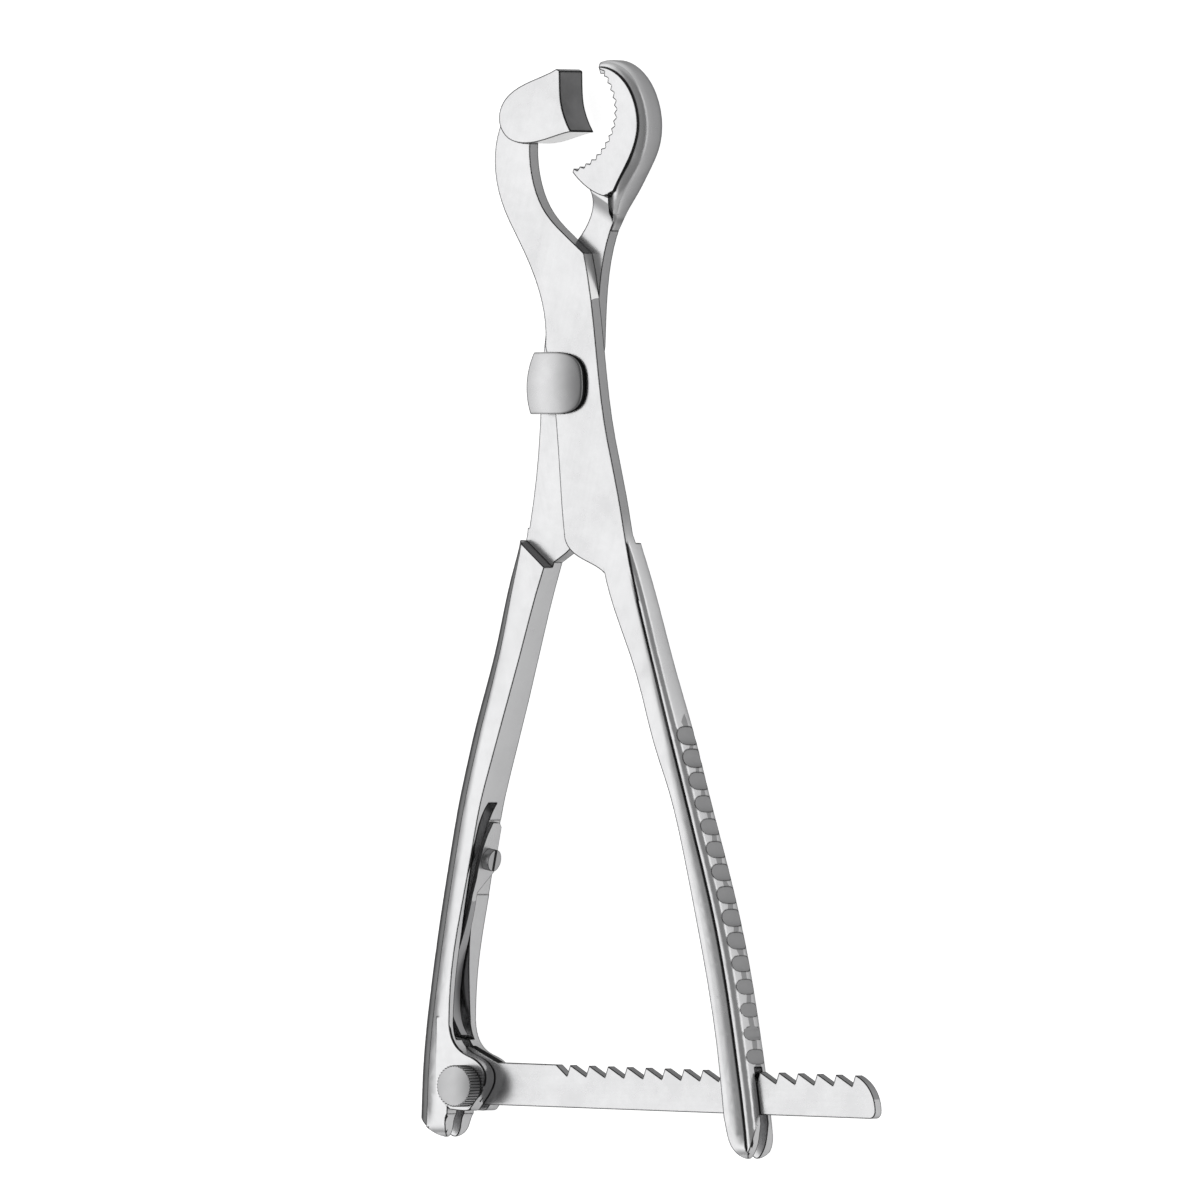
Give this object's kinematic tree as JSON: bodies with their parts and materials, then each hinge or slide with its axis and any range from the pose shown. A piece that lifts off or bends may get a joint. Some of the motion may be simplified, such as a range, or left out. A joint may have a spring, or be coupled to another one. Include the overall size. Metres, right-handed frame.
{
  "type": "bone holding forceps",
  "caption": "Hand forceps with a block jaw closing into a toothed cup jaw, a take-apart lap joint and a swinging ratchet bar that locks the handles.",
  "frame": {"origin": "on the main pivot's axis, in the plane where the two levers lap", "axes": "+Z along the pivot axis towards the lock cap, +Y towards the jaws, +X towards the lever with the grip scallops; the forceps lie on their back"},
  "size_m": [0.1298, 0.2597, 0.0162],
  "materials": {
    "lever_steel": "satin brushed",
    "stud_steel": "satin",
    "bar_steel": "satin brushed",
    "screw_steel": "turned, knurled head",
    "spring_steel": "hard rolled"
  },
  "bodies": {
    "rear_lever": {"rear_lever": "lever_steel", "pivot_stud": "stud_steel", "spring_screw": "screw_steel"},
    "front_lever": {"front_lever": "lever_steel"},
    "leaf_spring": {"leaf_spring": "spring_steel"},
    "ratchet_bar": {"ratchet_bar": "bar_steel"},
    "thumbscrew": {"thumbscrew": "screw_steel"}
  },
  "joints": [
    {"name": "main_pivot", "type": "hinge", "parent": "rear_lever", "child": "front_lever", "pos_m": [0, 0, 0], "axis": [0, 0, 1], "range_deg": [-8.5, 6]},
    {"name": "bar_follow", "type": "hinge", "parent": "rear_lever", "child": "leaf_spring", "pos_m": [-0.0282, -0.1663, 0], "axis": [0, 0, 1], "range_deg": [-6.1, 4.4], "deforming": ["leaf_spring"]},
    {"name": "bar_release", "type": "hinge", "parent": "leaf_spring", "child": "ratchet_bar", "pos_m": [-0.0282, -0.1663, 0], "axis": [0, 0, 1], "range_deg": [-60, 0], "stiffness_Nm_per_rad": 0.03, "springref_deg": 5.73},
    {"name": "thumbscrew_turn", "type": "hinge", "parent": "rear_lever", "child": "thumbscrew", "pos_m": [-0.0282, -0.1663, 0], "axis": [0, 0, 1], "continuous": true}
  ],
  "couplings": [
    {"joint": "bar_follow", "follows": "main_pivot", "ratio": 0.71}
  ]
}
